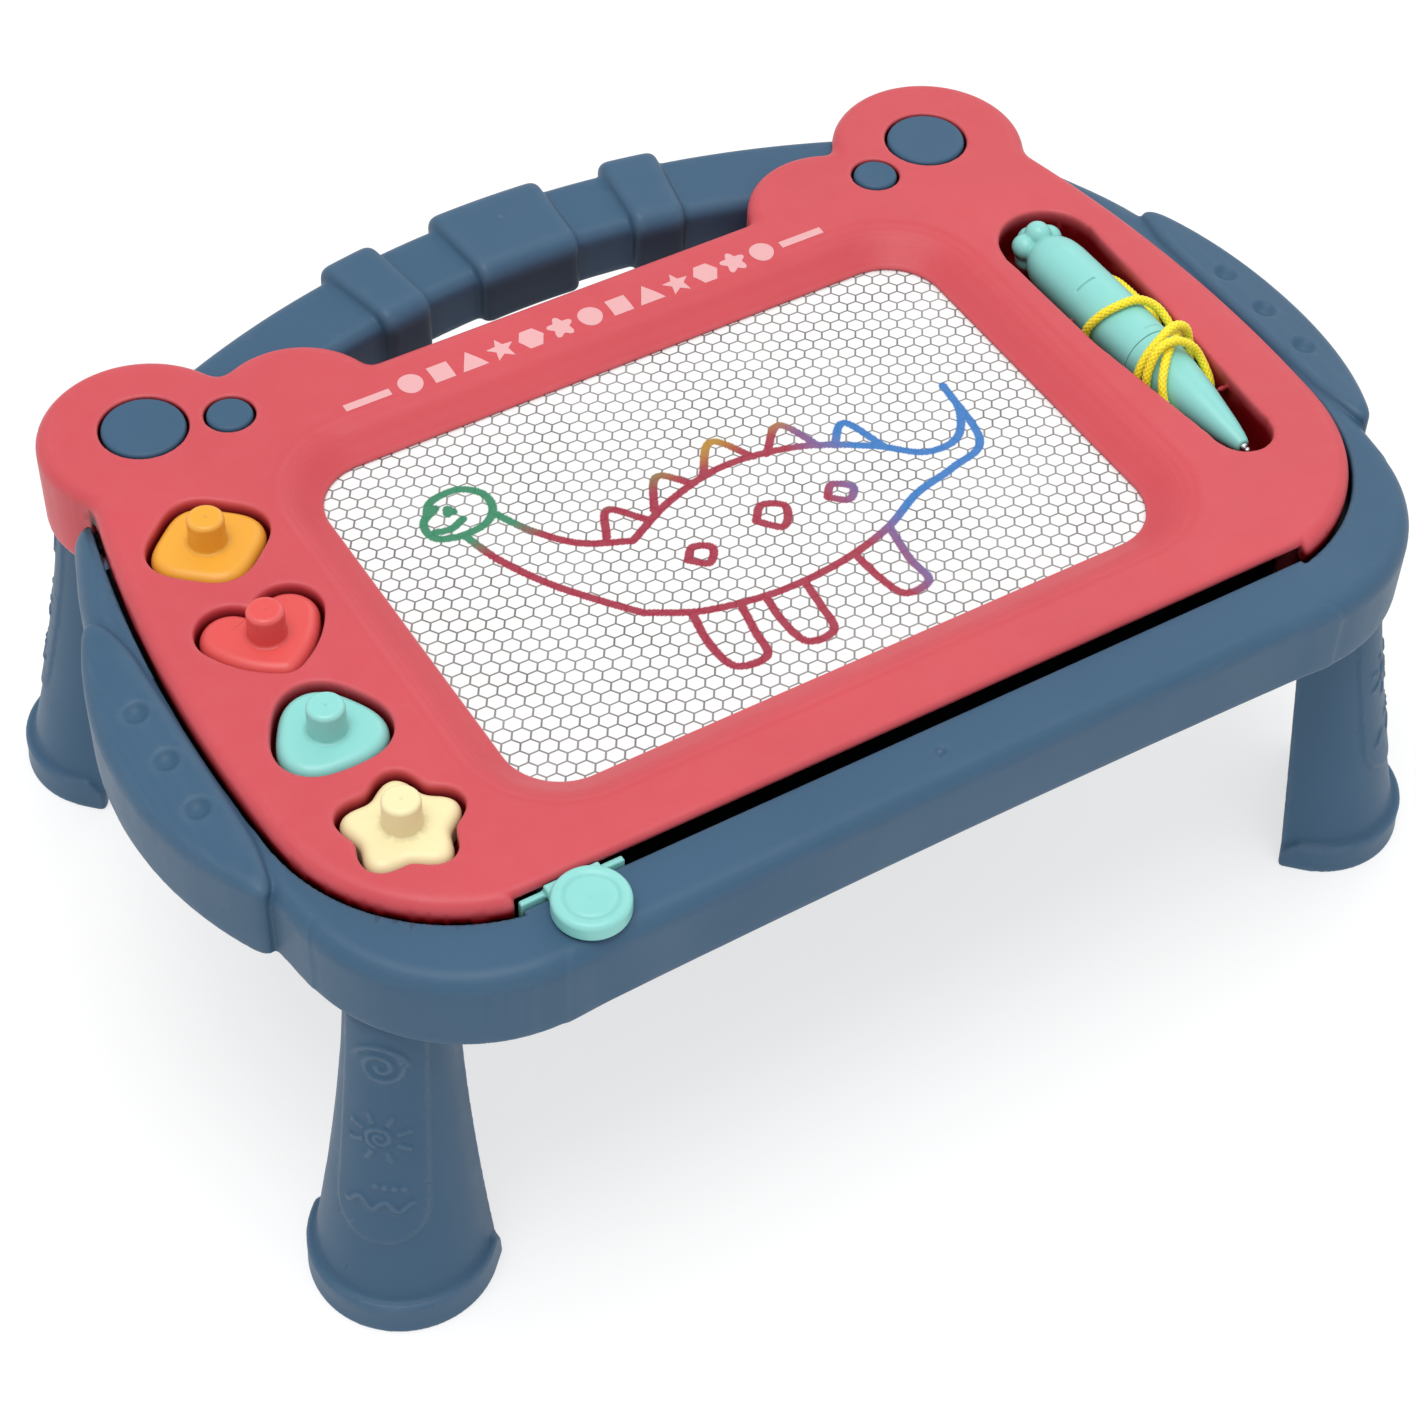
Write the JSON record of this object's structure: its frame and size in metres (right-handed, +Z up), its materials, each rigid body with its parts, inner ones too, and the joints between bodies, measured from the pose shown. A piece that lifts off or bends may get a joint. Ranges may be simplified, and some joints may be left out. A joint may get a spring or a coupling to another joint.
{
  "type": "magnetic drawing board desk",
  "caption": "Toddler's magnetic drawing board on plug-in legs, with a carrying handle, shape stamps in wells, a tethered pen in a tray and a sliding eraser.",
  "frame": {"origin": "centre of the bounding box in plan, on the floor under the feet", "axes": "+X to the desk's right as a child sits at it, +Y to the back where the handle is, +Z up"},
  "size_m": [0.407, 0.287, 0.1574],
  "materials": {
    "blue": "satin moulded",
    "coral": "satin moulded",
    "film": "smooth sheet",
    "honeycomb": "fine cells",
    "backing": "smooth sheet",
    "rail": "moulded",
    "teal": "soft gloss moulded",
    "magnet": "bonded ferrite sheet",
    "orange": "soft gloss moulded",
    "red": "soft gloss moulded",
    "cream": "soft gloss moulded",
    "steel": "plated",
    "cord": "braided polyester"
  },
  "bodies": {
    "board": {"frame_shell": "blue", "bottom_cover": "blue", "deck_bezel": "coral", "ear_cap_large_left": "blue", "ear_cap_large_right": "blue", "ear_cap_small_left": "blue", "ear_cap_small_right": "blue", "screen_front_film": "film", "screen_honeycomb": "honeycomb", "screen_back_film": "backing", "screen_rail_front": "rail", "screen_rail_back": "rail", "case_screws": "steel", "deck_screws": "steel", "rail_screws": "steel"},
    "eraser": {"eraser_slider": "teal", "eraser_magnet": "magnet"},
    "diamond": {"stamp_diamond": "orange", "magnet_diamond": "magnet"},
    "heart": {"stamp_heart": "red", "magnet_heart": "magnet"},
    "triangle": {"stamp_triangle": "teal", "magnet_triangle": "magnet"},
    "star": {"stamp_star": "cream", "magnet_star": "magnet"},
    "pen": {"pen_barrel": "teal", "pen_cone": "teal", "pen_magnet": "steel", "pen_tip": "steel", "pen_cord": "cord"},
    "front_left_leg": {"leg_front_left": "blue"},
    "front_right_leg": {"leg_front_right": "blue"},
    "back_left_leg": {"leg_back_left": "blue"},
    "back_right_leg": {"leg_back_right": "blue"}
  },
  "joints": [
    {"name": "eraser_slide", "type": "slide", "parent": "board", "child": "eraser", "axis": [1, 0, 0], "range_m": [0, 0.23]},
    {"name": "diamond_lift", "type": "slide", "parent": "board", "child": "diamond", "axis": [0, 0, 1], "range_m": [0, 0.03]},
    {"name": "heart_lift", "type": "slide", "parent": "board", "child": "heart", "axis": [0, 0, 1], "range_m": [0, 0.03]},
    {"name": "triangle_lift", "type": "slide", "parent": "board", "child": "triangle", "axis": [0, 0, 1], "range_m": [0, 0.03]},
    {"name": "star_lift", "type": "slide", "parent": "board", "child": "star", "axis": [0, 0, 1], "range_m": [0, 0.03]},
    {"name": "pen_lift", "type": "slide", "parent": "board", "child": "pen", "axis": [0, 0, 1], "range_m": [0, 0.04]},
    {"name": "front_left_leg_plug", "type": "slide", "parent": "board", "child": "front_left_leg", "axis": [0, 0, -1], "range_m": [0, 0.03]},
    {"name": "front_right_leg_plug", "type": "slide", "parent": "board", "child": "front_right_leg", "axis": [0, 0, -1], "range_m": [0, 0.03]},
    {"name": "back_left_leg_plug", "type": "slide", "parent": "board", "child": "back_left_leg", "axis": [0, 0, -1], "range_m": [0, 0.03]},
    {"name": "back_right_leg_plug", "type": "slide", "parent": "board", "child": "back_right_leg", "axis": [0, 0, -1], "range_m": [0, 0.03]}
  ]
}
